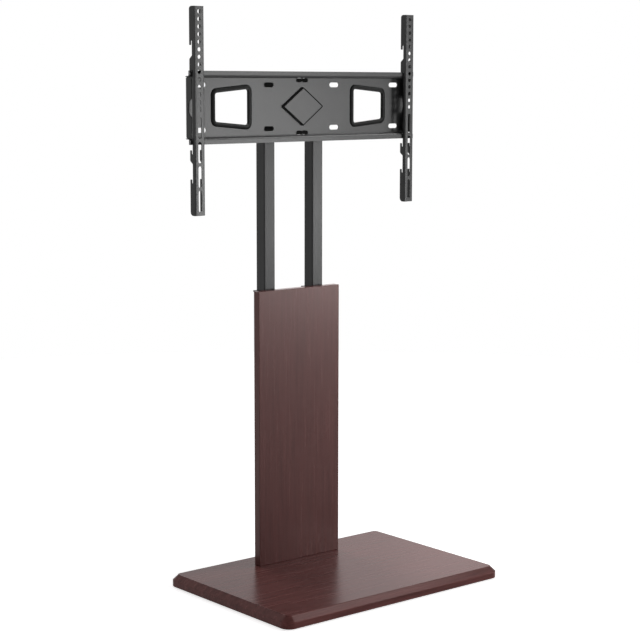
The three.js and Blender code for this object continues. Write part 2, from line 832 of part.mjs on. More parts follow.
// Pressed pan: the bent section runs the full width, the end flanges are turned up from its web
function mountPlate() {
  const half = plateSheet / 2;
  const lipY = lipFront + half;
  const webY = webBack - half;
  const section = bentSheet([
    [lipY, plateHeight / 2],
    [lipY, panFlangeZ],
    [webY, panFlangeZ],
    [webY, -panFlangeZ],
    [lipY, -panFlangeZ],
    [lipY, -plateHeight / 2],
  ], plateSheet, plateBend);
  let plate = prismX(section, -plateWidth / 2, plateWidth / 2);
  const bendReach = plateBend + plateSheet;
  const endHalf = panFlangeZ - half - endReliefGap;
  const endFlange = bentSheet([
    [endFlangeX - 2 * bendReach, webY],
    [endFlangeX - half, webY],
    [endFlangeX - half, lipFront + plateSheet],
  ], plateSheet, plateBend);
  const notchRadius = (notchHalfHeight ** 2 + notchDepth ** 2) / (2 * notchDepth);
  const notchY = lipFront + plateSheet + notchDepth - notchRadius;
  const cutX = endFlangeX - bendReach;
  const edgeX = plateWidth / 2 + cutOverrun;
  const lipBack = lipFront + plateSheet;
  const cutBack = webBack + cutOverrun;
  const reliefHalf = endHalf + endReliefGap;
  const fullHalf = plateHeight / 2 + cutOverrun;
  const webCut = block(cutX, edgeX, lipBack, cutBack, -reliefHalf, reliefHalf);
  const flangeCut = block(endFlangeX, edgeX, lipBack + half, cutBack, -fullHalf, fullHalf);
  const notch = rodX(notchRadius, cutX, edgeX, notchY, 0, 2 * roundSteps);
  const end = prismZ(endFlange, -endHalf, endHalf).subtract(notch);
  [-1, 1].forEach((side) => {
    plate = plate.subtract(mirrored(webCut.add(flangeCut), side)).add(mirrored(end, side));
    const hole = shapeOf(offsetOutline(windowCorners(side), windowCornerRadius, trimWall + seatGap));
    plate = plate.subtract(prismY(hole, webFront - cutOverrun, cutBack));
    slotPlaceShares.forEach((share) => {
      [-slotRise, slotRise].forEach((z) => {
        const slot = obround(slotLength, slotWidth, (side * share * plateWidth) / 2, z);
        plate = plate.subtract(prismY(slot, webFront - cutOverrun, cutBack));
      });
    });
    [-lobeSpread, lobeSpread].forEach((x) => {
      const lobe = obround(lobeLength, lobeWidth, x, side * lobeRise);
      plate = plate.subtract(prismY(lobe, webFront - cutOverrun, cutBack));
    });
  });
  plateBoltPlaces().forEach(([x, z]) => {
    plate = plate.subtract(rodY(plateBoltRadius + holeClearance, webFront - cutOverrun, cutBack, x, z));
  });
  return plate;
}

// Trim ring with a crowned face, a sleeve through the web and a snap bead behind it
function windowTrim(side) {
  const corners = windowCorners(side);
  const face = webFront - seatGap;
  const rear = webBack + seatGap;
  const crown = trimCrownShares.map(([out, up]) => [trimWidth * out, face - trimProud * up]);
  const profile = [
    [trimWall, rear + trimRearProud],
    [trimWall + trimSnap, rear],
    [trimWall, rear],
    [trimWall, face],
    [trimWidth, face],
    ...crown,
    [0, rear + trimRearProud],
  ];
  return ringAlong(
    (offset) => offsetOutline(corners, windowCornerRadius, offset),
    profile,
    (point, depth) => [point[0], depth, point[1]],
  );
}

function diamondCorners() {
  return [[0, -diamondHalfHeight], [diamondHalfWidth, 0], [0, diamondHalfHeight], [-diamondHalfWidth, 0]];
}

// Shallow hollow cover with a diamond face
function diamondCap() {
  const back = webFront - seatGap;
  const front = back - diamondProud;
  const radius = diamondCornerRadius;
  const outline = (offset) => offsetOutline(diamondCorners(), radius, offset);
  const levels = [[0, back], [0, front + diamondEase], [-diamondEase, front]];
  const cap = stacked(levels.map(([offset]) => outline(offset)), (point, level) => [
    point[0],
    levels[level][1],
    point[1],
  ]);
  const pocket = shapeOf(offsetOutline(diamondCorners(), radius, -diamondWall));
  return cap.subtract(prismY(pocket, front + diamondWall, back + cutOverrun));
}

function plateBoltPlaces() {
  return [
    [-plateBoltX, -plateBoltZ],
    [plateBoltX, -plateBoltZ],
    [-plateBoltX, plateBoltZ],
    [plateBoltX, plateBoltZ],
  ];
}

// Bracket: a flat flange on the web's back, two ears round the pivot, four locating tabs
function swivelBracket() {
  const flangeY = (bracketFront + bracketBack) / 2;
  const earZ = (earInner + earOuter) / 2;
  const channel = prismX(bentSheet([
    [earEndRadius + cutOverrun, earZ],
    [flangeY, earZ],
    [flangeY, -earZ],
    [earEndRadius + cutOverrun, -earZ],
  ], bracketSheet, bracketBend), -earHalfWidth, earHalfWidth);
  const plan = new THREE.Shape();
  plan.moveTo(-earHalfWidth, bracketFront - cutOverrun);
  plan.lineTo(earHalfWidth, bracketFront - cutOverrun);
  plan.lineTo(earHalfWidth, bracketBack + earNeck);
  plan.lineTo(earEndRadius, 0);
  plan.absarc(0, 0, earEndRadius, 0, halfTurn, false);
  plan.lineTo(-earHalfWidth, bracketBack + earNeck);
  let bracket = channel.intersect(prismZ(plan, -earOuter - cutOverrun, earOuter + cutOverrun, 2 * arcSteps));
  const flangeHeight = plateHeight - 2 * bracketMargin;
  const flange = shapeOf(roundedRectangle(bracketWidth, flangeHeight, bracketCornerRadius));
  bracket = bracket.add(prismY(flange, bracketFront, bracketBack));
  [-1, 1].forEach((side) => {
    [-lobeSpread, lobeSpread].forEach((x) => {
      const tab = obround(lobeLength - 2 * tabClearance, lobeWidth - 2 * tabClearance, x, side * lobeRise);
      bracket = bracket.add(prismY(tab, webFront - tabProud, bracketFront + bracketSheet / 2));
    });
  });
  const holeRadius = plateBoltRadius + holeClearance;
  plateBoltPlaces().forEach(([x, z]) => {
    const hole = rodY(holeRadius, bracketFront - cutOverrun, bracketBack + cutOverrun, x, z);
    bracket = bracket.subtract(hole);
  });
  return bracket.subtract(rodZ(pivotRadius + holeClearance, -earOuter - cutOverrun, earOuter + cutOverrun));
}

function plateBolt(x, z) {
  const seat = webFront - seatGap;
  const headFront = seat - plateBoltHeadHeight;
  const end = bracketBack + seatGap + plateNutHeight + plateBoltEnd;
  const head = rodY(plateBoltHeadRadius, headFront, seat, x, z);
  const shank = rodY(plateBoltRadius, headFront + plateBoltHeadHeight / 2, end, x, z);
  const socket = prismY(hexagon(socketWidth), headFront - cutOverrun, headFront + socketDepth);
  return head.add(shank).subtract(socket.translate([x, 0, z]));
}

function plateNut(x, z) {
  const low = bracketBack + seatGap;
  const high = low + plateNutHeight;
  const nut = prismY(hexagon(plateNutWidth), low, high).translate([x, 0, z]);
  return nut.subtract(rodY(plateBoltRadius + seatGap, low - cutOverrun, high + cutOverrun, x, z));
}

function pivotBolt() {
  const head = earOuter + 2 * seatGap + washerHeight;
  const end = -(earOuter + 3 * seatGap + washerHeight + pivotNutHeight + pivotEnd);
  const hex = prismZ(hexagon(pivotHeadWidth), head, head + pivotHeadHeight);
  return hex.add(rodZ(pivotRadius, end, head + pivotHeadHeight / 2));
}

function pivotWasher(side) {
  const near = earOuter + seatGap;
  const far = near + washerHeight;
  const low = side > 0 ? near : -far;
  const high = side > 0 ? far : -near;
  const ring = rodZ(washerRadius, low, high);
  return ring.subtract(rodZ(pivotRadius + bushClearance, low - cutOverrun, high + cutOverrun));
}

function pivotNut() {
  const high = -(earOuter + 2 * seatGap + washerHeight);
  const low = high - pivotNutHeight;
  const nut = prismZ(hexagon(pivotHeadWidth), low, high);
  return nut.subtract(rodZ(pivotRadius + bushClearance, low - cutOverrun, high + cutOverrun));
}

// The side view of an arm, [y, z, radius] from its bottom front corner round to its top
function armProfile() {
  const slotY = armRearY - hookToothWidth;
  const tip = hookTipRadius;
  const upward = (slotZ, toothLength) => [
    [armRearY, slotZ + toothLength, tip],
    [slotY, slotZ + toothLength, tip],
    [slotY, slotZ, tip],
    [armNarrowY, slotZ, 0],
  ];
  const downward = (slotZ) => [
    [armNarrowY, slotZ, 0],
    [slotY, slotZ, tip],
    [slotY, slotZ - hookToothLength, tip],
    [armRearY, slotZ - hookToothLength, tip],
  ];
  const tabBottom = lowerTabHeight + lowerToothLength - lowerTabBody;
  const hookTop = mainHookHeight - hookToothLength + mainHookBody;
  return roundedPoints([
    [armFront, 0, 0],
    [armRearY, 0, armBottomCornerRadius],
    ...upward(lowerHookHeight, lowerToothLength),
    [armNarrowY, tabBottom - shoulderLength, 0],
    [armRearY, tabBottom - shoulderLead, shoulderRadius],
    ...upward(lowerTabHeight, lowerToothLength),
    ...downward(mainHookHeight),
    [armRearY, hookTop + shoulderLead, shoulderRadius],
    [armNarrowY, hookTop + shoulderLength, 0],
    ...downward(upperHookHeight),
    [armRearY, armLength, armTopCornerRadius],
    [armFront, armLength, 0],
  ]);
}

// Hooked U-channel: a bent section cut to the side profile, with its row of holes and slots
function hookedArm() {
  const half = armSheet / 2;
  const sideX = armWidth / 2 - half;
  const section = bentSheet([
    [-sideX, armRearY + cutOverrun],
    [-sideX, armFront + half],
    [sideX, armFront + half],
    [sideX, armRearY + cutOverrun],
  ], armSheet, armBend);
  let arm = prismZ(section, 0, armLength).intersect(prismX(shapeOf(armProfile()), -armWidth, armWidth));
  const slotsTop = armSlotBottomInset + (armSlotCount - 1) * armSlotPitch + armSlotLength / 2;
  const cutFront = armFront - cutOverrun;
  const cutBack = armFront + armSheet + cutOverrun;
  for (let z = armLength - armHoleTopInset; z > slotsTop + armHoleSlotGap; z -= armHolePitch) {
    arm = arm.subtract(rodY(armHoleRadius, cutFront, cutBack, 0, z, holeSteps));
  }
  const upright = [0, THREE.MathUtils.radToDeg(quarterTurn), 0];
  const slotCut = prismY(obround(armSlotLength, 2 * armHoleRadius), cutFront, cutBack).rotate(upright);
  for (let slot = 0; slot < armSlotCount; slot += 1) {
    arm = arm.subtract(slotCut.translate([0, 0, armSlotBottomInset + slot * armSlotPitch]));
  }
  return arm;
}

// Stand: everything that stays on the floor
const stand = new THREE.Group();
addPiece(stand, 'base_board', baseBoard(), wood);
padPlaces().forEach(([name, x, y]) => addPiece(stand, name, rodZ(padRadius, 0, padHeight, x, y), rubber));
addPiece(stand, 'foot_plate', footPlate(), steelPaint);
footBoltPlaces().forEach(([x, y], index) => {
  addPiece(stand, `foot_bolt_${index + 1}`, footBolt(x, y), zinc);
  addPiece(stand, `foot_nut_${index + 1}`, footNut(x, y), zinc);
});
[['left', -1], ['right', 1]].forEach(([side, sign]) => {
  addPiece(stand, `sleeve_${side}`, mirrored(sleeve(), sign), steelPaint);
  addPiece(stand, `sleeve_back_${side}`, sleeveBack(sign * postX), steelPaint);
  addPiece(stand, `sleeve_collar_${side}`, mirrored(sleeveCollar(), sign), blackPlastic);
  addPiece(stand, `lock_boss_${side}`, mirrored(lockBoss(), sign), steelPaint);
  addPiece(stand, `lock_knob_${side}`, mirrored(lockKnob(), sign), blackPlastic);
});
addPiece(stand, 'front_panel', frontPanel(), wood);
strapCentres().forEach((z, index) => {
  addPiece(stand, index === 0 ? 'panel_strap_lower' : 'panel_strap_upper', panelStrap(z), steelPaint);
});
panelScrewPlaces().forEach(([x, z], index) => {
  addPiece(stand, `panel_screw_${index + 1}`, panelScrew(x, z), zinc);
});

// Mast: what slides up and down in the sleeves
[['left', -postX], ['right', postX]].forEach(([side, x]) => {
  addPiece(stand, `post_${side}`, post(x), steelPaint);
  addPiece(stand, `post_cap_${side}`, tubePlug(x, postTop, 1, postSize), blackPlastic);
  addPiece(stand, `post_glide_${side}`, tubePlug(x, postBottom, -1, postSize + 2 * glideProud), blackPlastic);
});
addPiece(stand, 'crossbar', crossbar(), steelPaint);
addPiece(stand, 'pivot_bush_upper', pivotBush(1), blackPlastic);
addPiece(stand, 'pivot_bush_lower', pivotBush(-1), blackPlastic);

// Mount: what swivels on the mast
const mount = new THREE.Group();
mount.position.z = mountHeight;
mount.rotation.z = THREE.MathUtils.degToRad(restSwivel);
stand.add(mount);
addPiece(mount, 'mount_plate', mountPlate(), steelPaint);
addPiece(mount, 'window_trim_left', windowTrim(-1), blackPlastic);
addPiece(mount, 'window_trim_right', windowTrim(1), blackPlastic);
addPiece(mount, 'diamond_cap', diamondCap(), steelPaint);
addPiece(mount, 'swivel_bracket', swivelBracket(), steelPaint);
plateBoltPlaces().forEach(([x, z], index) => {
  addPiece(mount, `plate_bolt_${index + 1}`, plateBolt(x, z), zinc);
  addPiece(mount, `plate_nut_${index + 1}`, plateNut(x, z), zinc);
});
addPiece(mount, 'pivot_bolt', pivotBolt(), zinc);
addPiece(mount, 'pivot_washer_upper', pivotWasher(1), zinc);
addPiece(mount, 'pivot_washer_lower', pivotWasher(-1), zinc);
addPiece(mount, 'pivot_nut', pivotNut(), zinc);

// Arms: what slides along the plate's lips
[['left', -armRestX], ['right', armRestX]].forEach(([side, x]) => {
  const arm = addPiece(mount, `arm_${side}`, hookedArm(), steelPaint);
  arm.position.set(x, 0, armBottom);
});

export default stand;
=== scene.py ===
"""Looks, light and camera of the floor television stand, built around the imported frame.

Metres, +Z up, front towards -Y. The camera is fitted to a photograph of 640 x 640 pixels.
"""

import json
import math

import bmesh
import bpy
from mathutils import Matrix, Vector

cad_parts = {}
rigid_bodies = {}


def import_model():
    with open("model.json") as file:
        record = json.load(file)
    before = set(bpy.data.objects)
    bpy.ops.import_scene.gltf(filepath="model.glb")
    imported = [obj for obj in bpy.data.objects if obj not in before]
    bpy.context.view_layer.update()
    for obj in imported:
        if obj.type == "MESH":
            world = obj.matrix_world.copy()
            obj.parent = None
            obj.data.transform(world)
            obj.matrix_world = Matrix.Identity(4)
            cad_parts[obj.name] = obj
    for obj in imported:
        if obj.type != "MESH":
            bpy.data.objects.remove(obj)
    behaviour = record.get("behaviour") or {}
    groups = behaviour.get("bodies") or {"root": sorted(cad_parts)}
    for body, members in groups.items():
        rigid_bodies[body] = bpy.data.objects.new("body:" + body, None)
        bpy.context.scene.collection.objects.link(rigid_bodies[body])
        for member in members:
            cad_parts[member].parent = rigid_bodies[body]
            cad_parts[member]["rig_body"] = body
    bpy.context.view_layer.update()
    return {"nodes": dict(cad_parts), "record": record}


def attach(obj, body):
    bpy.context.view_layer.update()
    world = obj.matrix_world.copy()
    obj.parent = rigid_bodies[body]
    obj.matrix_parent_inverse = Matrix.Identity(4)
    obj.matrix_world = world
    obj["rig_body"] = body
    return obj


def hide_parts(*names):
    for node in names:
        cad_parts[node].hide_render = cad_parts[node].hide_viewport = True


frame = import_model()
NODES = frame["nodes"]

# Camera: place in metres, turns in degrees
IMAGE_SIZE = 640
FOCAL_PIXELS = 1716.73
SENSOR = 36.0
CAMERA_PLACE = (-2.39839, -2.99799, 1.09944)
CAMERA_YAW = 39.676
CAMERA_PITCH = 7.828
CAMERA_ROLL = 0.073
CAMERA_REACH = 100


def make_camera():
    data = bpy.data.cameras.new("camera")
    data.sensor_width = SENSOR
    data.lens = FOCAL_PIXELS * SENSOR / IMAGE_SIZE
    data.clip_end = CAMERA_REACH
    camera = bpy.data.objects.new("camera", data)
    turn = Matrix.Rotation(math.radians(-CAMERA_YAW), 4, "Z")
    tilt = Matrix.Rotation(math.radians(90 - CAMERA_PITCH), 4, "X")
    roll = Matrix.Rotation(math.radians(CAMERA_ROLL), 4, "Z")
    camera.matrix_world = Matrix.Translation(CAMERA_PLACE) @ turn @ tilt @ roll
    bpy.context.scene.collection.objects.link(camera)
    bpy.context.scene.camera = camera


# Materials


class Nodes:
    """A material's node tree, with short calls for its nodes and links."""

    def __init__(self, name):
        self.material = bpy.data.materials.new(name)
        self.material.use_nodes = True
        self.tree = self.material.node_tree
        self.tree.nodes.clear()
        self.shader = self.add("ShaderNodeBsdfPrincipled")
        output = self.add("ShaderNodeOutputMaterial")
        self.link(self.shader.outputs["BSDF"], output.inputs["Surface"])
        coordinates = self.add("ShaderNodeTexCoord")
        self.place = coordinates.outputs["Object"]

    def add(self, kind, **settings):
        node = self.tree.nodes.new(kind)
        for key, value in settings.items():
            setattr(node, key, value)
        return node

    def link(self, source, target):
        self.tree.links.new(source, target)

    def stretched(self, scale):
        mapping = self.add("ShaderNodeMapping")
        mapping.inputs["Scale"].default_value = scale
        self.link(self.place, mapping.inputs["Vector"])
        return mapping.outputs["Vector"]

    def noise(self, vector, scale, detail, roughness=0.5, distortion=0.0):
        node = self.add("ShaderNodeTexNoise")
        node.inputs["Scale"].default_value = scale
        node.inputs["Detail"].default_value = detail
        node.inputs["Roughness"].default_value = roughness
        node.inputs["Distortion"].default_value = distortion
        self.link(vector, node.inputs["Vector"])
        return node.outputs["Fac"]

    def ramp(self, factor, *stops):
        """A colour ramp through stops of position and colour."""
        node = self.add("ShaderNodeValToRGB")
        elements = node.color_ramp.elements
        while len(elements) < len(stops):
            elements.new(0.5)
        for element, (position, colour) in zip(elements, stops):
            element.position = position
            element.color = (*colour, 1)
        self.link(factor, node.inputs["Fac"])
        return node.outputs["Color"]

    def to_range(self, value, low, high):
        node = self.add("ShaderNodeMapRange")
        node.inputs["To Min"].default_value = low
        node.inputs["To Max"].default_value = high
        self.link(value, node.inputs["Value"])
        return node.outputs["Result"]

    def multiply(self, first, second, share=1.0):
        node = self.add("ShaderNodeMix", data_type="RGBA", blend_type="MULTIPLY")
        node.inputs["Factor"].default_value = share
        self.link(first, node.inputs["A"])
        self.link(second, node.inputs["B"])
        return node.outputs["Result"]

    def bump(self, height, strength, distance, under=None):
        """A bumped normal. distance is in metres, under is the normal that it lies on."""
        node = self.add("ShaderNodeBump")
        node.inputs["Strength"].default_value = strength
        node.inputs["Distance"].default_value = distance
        self.link(height, node.inputs["Height"])
        if under is not None:
            self.link(under, node.inputs["Normal"])
        return node.outputs["Normal"]

    def set(self, **values):
        """Sets or links the shader's sockets, named with underscores for spaces."""
        for key, value in values.items():
            socket = self.shader.inputs[key.replace("_", " ")]
            if isinstance(value, bpy.types.NodeSocket):
                self.link(value, socket)
            else:
                socket.default_value = value


def grey(value):
    return (value, value, value)


def steel_coat(name, tones, gloss):
    """Fine-textured dark powder coat."""
    m = Nodes(name)
    cloud = m.noise(m.place, scale=9, detail=3)
    grain = m.noise(m.place, scale=1600, detail=2, roughness=0.6)
    orange_peel = m.noise(m.place, scale=420, detail=2)
    tone = m.ramp(cloud, (0.3, tones[0]), (0.7, tones[1]))
    speck = m.ramp(grain, (0.35, grey(0.82)), (0.65, grey(1.0)))
    peel_normal = m.bump(orange_peel, strength=0.10, distance=0.0004)
    m.set(
        Base_Color=m.multiply(tone, speck),
        Roughness=m.to_range(cloud, 0.29, 0.35),
        Specular_IOR_Level=gloss,
        Normal=m.bump(grain, strength=0.16, distance=0.00015, under=peel_normal),
    )
    return m.material


def wood(name, along, tones, sheen, streaks, gloss):
    """Dark mahogany laminate with its grain along an axis of the piece, 0 for X and 2 for Z."""
    m = Nodes(name)

    def drawn_out(along_scale, cross_scale):
        scale = [cross_scale] * 3
        scale[along] = along_scale
        return m.stretched(scale)

    band = m.noise(drawn_out(1.1, 13), scale=1, detail=5, roughness=0.55, distortion=0.35)
    streak = m.noise(drawn_out(5, 110), scale=1, detail=6, roughness=0.62, distortion=0.15)
    pore = m.noise(drawn_out(22, 900), scale=1, detail=3, roughness=0.6)
    tone = m.ramp(band, (0.28, tones[0]), (0.5, tones[1]), (0.72, tones[2]))
    streak_tone = m.ramp(streak, (0.34, grey(0.62)), (0.5, grey(0.96)), (0.66, grey(1.22)))
    pore_tone = m.ramp(pore, (0.30, grey(0.62)), (0.42, grey(1.0)))
    streaked = m.multiply(tone, streak_tone, share=streaks)
    m.set(
        Base_Color=m.multiply(streaked, pore_tone, share=0.55),
        Roughness=m.to_range(streak, 0.22, 0.31),
        Specular_IOR_Level=gloss,
        Specular_Tint=(*sheen, 1),
        Normal=m.bump(pore, strength=0.06, distance=0.0002),
    )
    return m.material


def black_plastic():
    m = Nodes("black_plastic")
    cloud = m.noise(m.place, scale=30, detail=3)
    grain = m.noise(m.place, scale=2600, detail=2)
    m.set(
        Base_Color=m.ramp(cloud, (0.3, grey(0.004)), (0.7, grey(0.006))),
        Roughness=m.to_range(cloud, 0.32, 0.40),
        Specular_IOR_Level=0.08,
        Normal=m.bump(grain, strength=0.12, distance=0.0001),
    )
    return m.material


# A near-black finish for faces that stand for shade: painted shade in gaps and openings
def painted_shade_black():
    m = Nodes("painted_shade_black")
    cloud = m.noise(m.place, scale=60, detail=3)
    grain = m.noise(m.place, scale=2200, detail=2)
    m.set(
        Base_Color=m.ramp(cloud, (0.3, grey(0.003)), (0.7, grey(0.005))),
        Roughness=m.to_range(cloud, 0.55, 0.65),
        Specular_IOR_Level=0.03,
        Normal=m.bump(grain, strength=0.1, distance=0.0001),
    )
    return m.material


def zinc_steel():
    m = Nodes("zinc_steel")
    cloud = m.noise(m.place, scale=140, detail=4, roughness=0.6)
    grain = m.noise(m.place, scale=900, detail=3)
    m.set(
        Base_Color=m.ramp(cloud, (0.3, (0.42, 0.43, 0.44)), (0.7, (0.62, 0.62, 0.60))),
        Metallic=1.0,
        Roughness=m.to_range(cloud, 0.25, 0.42),
        Normal=m.bump(grain, strength=0.1, distance=0.0001),
    )
    return m.material


def rubber():
    m = Nodes("rubber")
    grain = m.noise(m.place, scale=700, detail=4, roughness=0.6)
    m.set(
        Base_Color=m.ramp(grain, (0.3, grey(0.014)), (0.7, grey(0.024))),
        Roughness=m.to_range(grain, 0.7, 0.9),
        Normal=m.bump(grain, strength=0.3, distance=0.0003),
    )
    return m.material


GRAIN_X, GRAIN_Z = 0, 2

# Linear colours from dark to light, and the colour of the wood's reflections
# The base's tones are lighter than the panel's though both are one wood: painted light from
# above on the base
BASE_LIT_TONES = ((0.096, 0.0320, 0.0298), (0.112, 0.0385, 0.0360), (0.128, 0.0445, 0.0415))
PANEL_TONES = ((0.084, 0.0285, 0.0266), (0.094, 0.0330, 0.0307), (0.104, 0.0372, 0.0346))
BASE_SHEEN = (1.0, 0.62, 0.60)
PANEL_SHEEN = (1.0, 0.82, 0.80)
STEEL_TONES = ((0.029, 0.0292, 0.0295), (0.037, 0.0372, 0.0375))
# The posts' tones: the steel coat made darker, which is painted shade
POST_SHADED_TONES = ((0.022, 0.0222, 0.0225), (0.029, 0.0292, 0.0295))

# The record's material slots
MATERIALS = {
    "base_wood": wood("base_wood", GRAIN_X, BASE_LIT_TONES, BASE_SHEEN, streaks=0.8, gloss=0.11),
    "panel_wood": wood("panel_wood", GRAIN_Z, PANEL_TONES, PANEL_SHEEN, streaks=0.5, gloss=0.2),
    "steel_coat": steel_coat("steel_coat", STEEL_TONES, gloss=0.24),
    "black_plastic": black_plastic(),
    "zinc_steel": zinc_steel(),
    "rubber": rubber(),
}
SLOTS = {part["node"]: part["material_slot"] for part in frame["record"]["subparts"]}

# Finishes beside the slots: a matt black for single faces, which paints shade on them, and for
# the posts a darker copy of the steel coat, whose darkness is painted shade
PAINTED_SHADE_BLACK = painted_shade_black()
POST_SHADED_COAT = steel_coat("post_coat_painted_shade", POST_SHADED_TONES, gloss=0.19)


def dress(piece, slot):
    piece.data.materials.clear()
    piece.data.materials.append(MATERIALS[slot])


for node_name, node in NODES.items():
    dress(node, SLOTS[node_name])


# Shapes. Lengths are in millimetres up to the point where a mesh is made

MM = 0.001
SMOOTH_ANGLE = math.radians(35)
SMALLEST_RADIUS = 0.1

# Steps of the arcs: rounded edges, and the plan corners of the board, trims and diamond
EDGE_STEPS = 5
BOARD_STEPS, TRIM_STEPS, DIAMOND_STEPS = 16, 10, 8


def rounded(corners, steps):
    """A closed outline whose corners (a, b, radius) are rounded by arcs."""
    points = []
    for index, (a, b, radius) in enumerate(corners):
        here = Vector((a, b))
        if radius == 0:
            points.append(here)
            continue
        back = (Vector(corners[index - 1][:2]) - here).normalized()
        ahead = (Vector(corners[(index + 1) % len(corners)][:2]) - here).normalized()
        half = math.acos(max(-1.0, min(1.0, back.dot(ahead)))) / 2
        centre = here + (back + ahead).normalized() * radius / math.sin(half)
        start = here + back * radius / math.tan(half) - centre
        end = here + ahead * radius / math.tan(half) - centre
        sweep = math.atan2(start.cross(end), start.dot(end))
        for step in range(steps + 1):
            turned = start.copy()
            turned.rotate(Matrix.Rotation(sweep * step / steps, 2))
            points.append(centre + turned)
    return points


def rectangle(width, height, radius, steps):
    half_width, half_height = width / 2, height / 2
    corners = (
        (half_width, -half_height, radius),
        (half_width, half_height, radius),
        (-half_width, half_height, radius),
        (-half_width, -half_height, radius),
    )
    return rounded(corners, steps)


def moved_out(corners, radius, offset, steps):
    """A convex outline, drawn anticlockwise, moved outwards with its rounded corners."""
    corner_radius = max(radius + offset, SMALLEST_RADIUS)
    moved = []
    for index, corner in enumerate(corners):
        here = Vector(corner)
        into = (here - Vector(corners[index - 1])).normalized()
        along = (Vector(corners[(index + 1) % len(corners)]) - here).normalized()
        normal = Vector((into.y + along.y, -into.x - along.x)).normalized()
        share = 1 / normal.dot(Vector((along.y, -along.x)))
        here += normal * offset * share
        moved.append((here.x, here.y, corner_radius))
    return rounded(moved, steps)


def arc_points(centre, radius, start, end, steps):
    """Points on an arc, angles in degrees."""
    points = []
    for step in range(steps + 1):
        angle = math.radians(start + (end - start) * step / steps)
        across = centre[0] + radius * math.cos(angle)
        up = centre[1] + radius * math.sin(angle)
        points.append((across, up))
    return points


def smooth_through(points, parts):
    """Points on a smooth line through the given ones, with its ends kept."""
    padded = [Vector(point) for point in (points[0], *points, points[-1])]
    line = []
    for a, b, c, d in zip(padded, padded[1:], padded[2:], padded[3:]):
        for part in range(parts):
            t = part / parts
            slope = (c - a) * t
            bend = (2 * a - 5 * b + 4 * c - d) * t**2
            twist = (3 * b - a - 3 * c + d) * t**3
            line.append((2 * b + slope + bend + twist) / 2)
    line.append(padded[-1])
    return line


def add_piece(name, mesh, node):
    """Puts a mesh in the place of a CAD node."""
    piece = bpy.data.objects.new(name, mesh)
    bpy.context.scene.collection.objects.link(piece)
    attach(piece, NODES[node]["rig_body"])
    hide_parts(node)
    dress(piece, SLOTS[node])
    return piece


def shade(piece):
    """Shades rounded edges smooth, while large faces keep their own normal."""
    piece.data.shade_smooth()
    piece.data.set_sharp_from_angle(angle=SMOOTH_ANGLE)
    weighted = piece.modifiers.new("flatten", "WEIGHTED_NORMAL")
    weighted.mode = "FACE_AREA"
    weighted.weight = 100
    weighted.keep_sharp = True


def lofted(name, loops, node, ring=False):
    """A piece through loops of points with like counts, capped unless it closes as a ring."""
    work = bmesh.new()
    rows = [[work.verts.new(Vector(point) * MM) for point in loop] for loop in loops]
    pairs = list(zip(rows, rows[1:]))
    if ring:
        pairs.append((rows[-1], rows[0]))
    for low, high in pairs:
        for index in range(len(low)):
            after = (index + 1) % len(low)
            work.faces.new((low[index], low[after], high[after], high[index]))
    if not ring:
        work.faces.new(rows[0])
        work.faces.new(rows[-1])
    bmesh.ops.recalc_face_normals(work, faces=work.faces)
    mesh = bpy.data.meshes.new(name)
    work.to_mesh(mesh)
    work.free()
    piece = add_piece(name, mesh, node)
    shade(piece)
    return piece


# Base board: rounded plan corners, eased lower edge, flat bevel below a small step
BOARD_WIDTH, BOARD_DEPTH, BOARD_REAR = 610, 420, 48
BOARD_LOW, BOARD_HIGH = 1.5, 27.5
BOARD_RADIUS, BOARD_EASE = 22, 1.5
BEVEL, BEVEL_EASE = 12, 1.2
BEVEL_STEP, STEP_EASE = 1.0, 0.35
BOARD_FLAT = 20


def base_board():
    profile = (
        (BOARD_FLAT, BOARD_LOW, 0),
        (0, BOARD_LOW, BOARD_EASE),
        (0, BOARD_HIGH - BEVEL, BEVEL_EASE),
        (BEVEL, BOARD_HIGH - BEVEL_STEP, 0),
        (BEVEL, BOARD_HIGH, STEP_EASE),
        (BOARD_FLAT, BOARD_HIGH, 0),
    )
    centre = BOARD_REAR - BOARD_DEPTH / 2
    loops = []
    for inset, height in rounded(profile, EDGE_STEPS):
        width, depth = BOARD_WIDTH - 2 * inset, BOARD_DEPTH - 2 * inset
        outline = rectangle(width, depth, BOARD_RADIUS - inset, BOARD_STEPS)
        loops.append([(x, y + centre, height) for x, y in outline])
    lofted("base_board_wood", loops, "base_board")


# Front panel with softly eased edges
PANEL_WIDTH, PANEL_HEIGHT, PANEL_THICKNESS = 230, 620, 19
PANEL_BACK, PANEL_RADIUS, PANEL_EASE = -16.7, 1.5, 1.0


def front_panel():
    rear = PANEL_BACK - PANEL_EASE
    front = PANEL_BACK - PANEL_THICKNESS + PANEL_EASE
    levels = arc_points((PANEL_EASE, rear), PANEL_EASE, 90, 180, EDGE_STEPS)
    levels += arc_points((PANEL_EASE, front), PANEL_EASE, 180, 270, EDGE_STEPS)
    middle = BOARD_HIGH + PANEL_HEIGHT / 2
    loops = []
    for inset, depth in levels:
        width, height = PANEL_WIDTH - 2 * inset, PANEL_HEIGHT - 2 * inset
        outline = rectangle(width, height, PANEL_RADIUS - inset, EDGE_STEPS)
        loops.append([(x, depth, z + middle) for x, z in outline])
    lofted("front_panel_wood", loops, "front_panel")


# The mount's own frame: turned about the swivel axis at rest
MOUNT_HEIGHT = 1050.4
REST_SWIVEL = math.radians(5.25)
MOUNT_FRONT = Vector((math.sin(REST_SWIVEL), -math.cos(REST_SWIVEL), 0))


def on_mount(x, y, z):
    cosine, sine = math.cos(REST_SWIVEL), math.sin(REST_SWIVEL)
    return (x * cosine - y * sine, x * sine + y * cosine, z + MOUNT_HEIGHT)


def forward(face):
    """How far a face lies in front of the swivel axis, in the mount's own frame."""
    return face.center.dot(MOUNT_FRONT) / MM


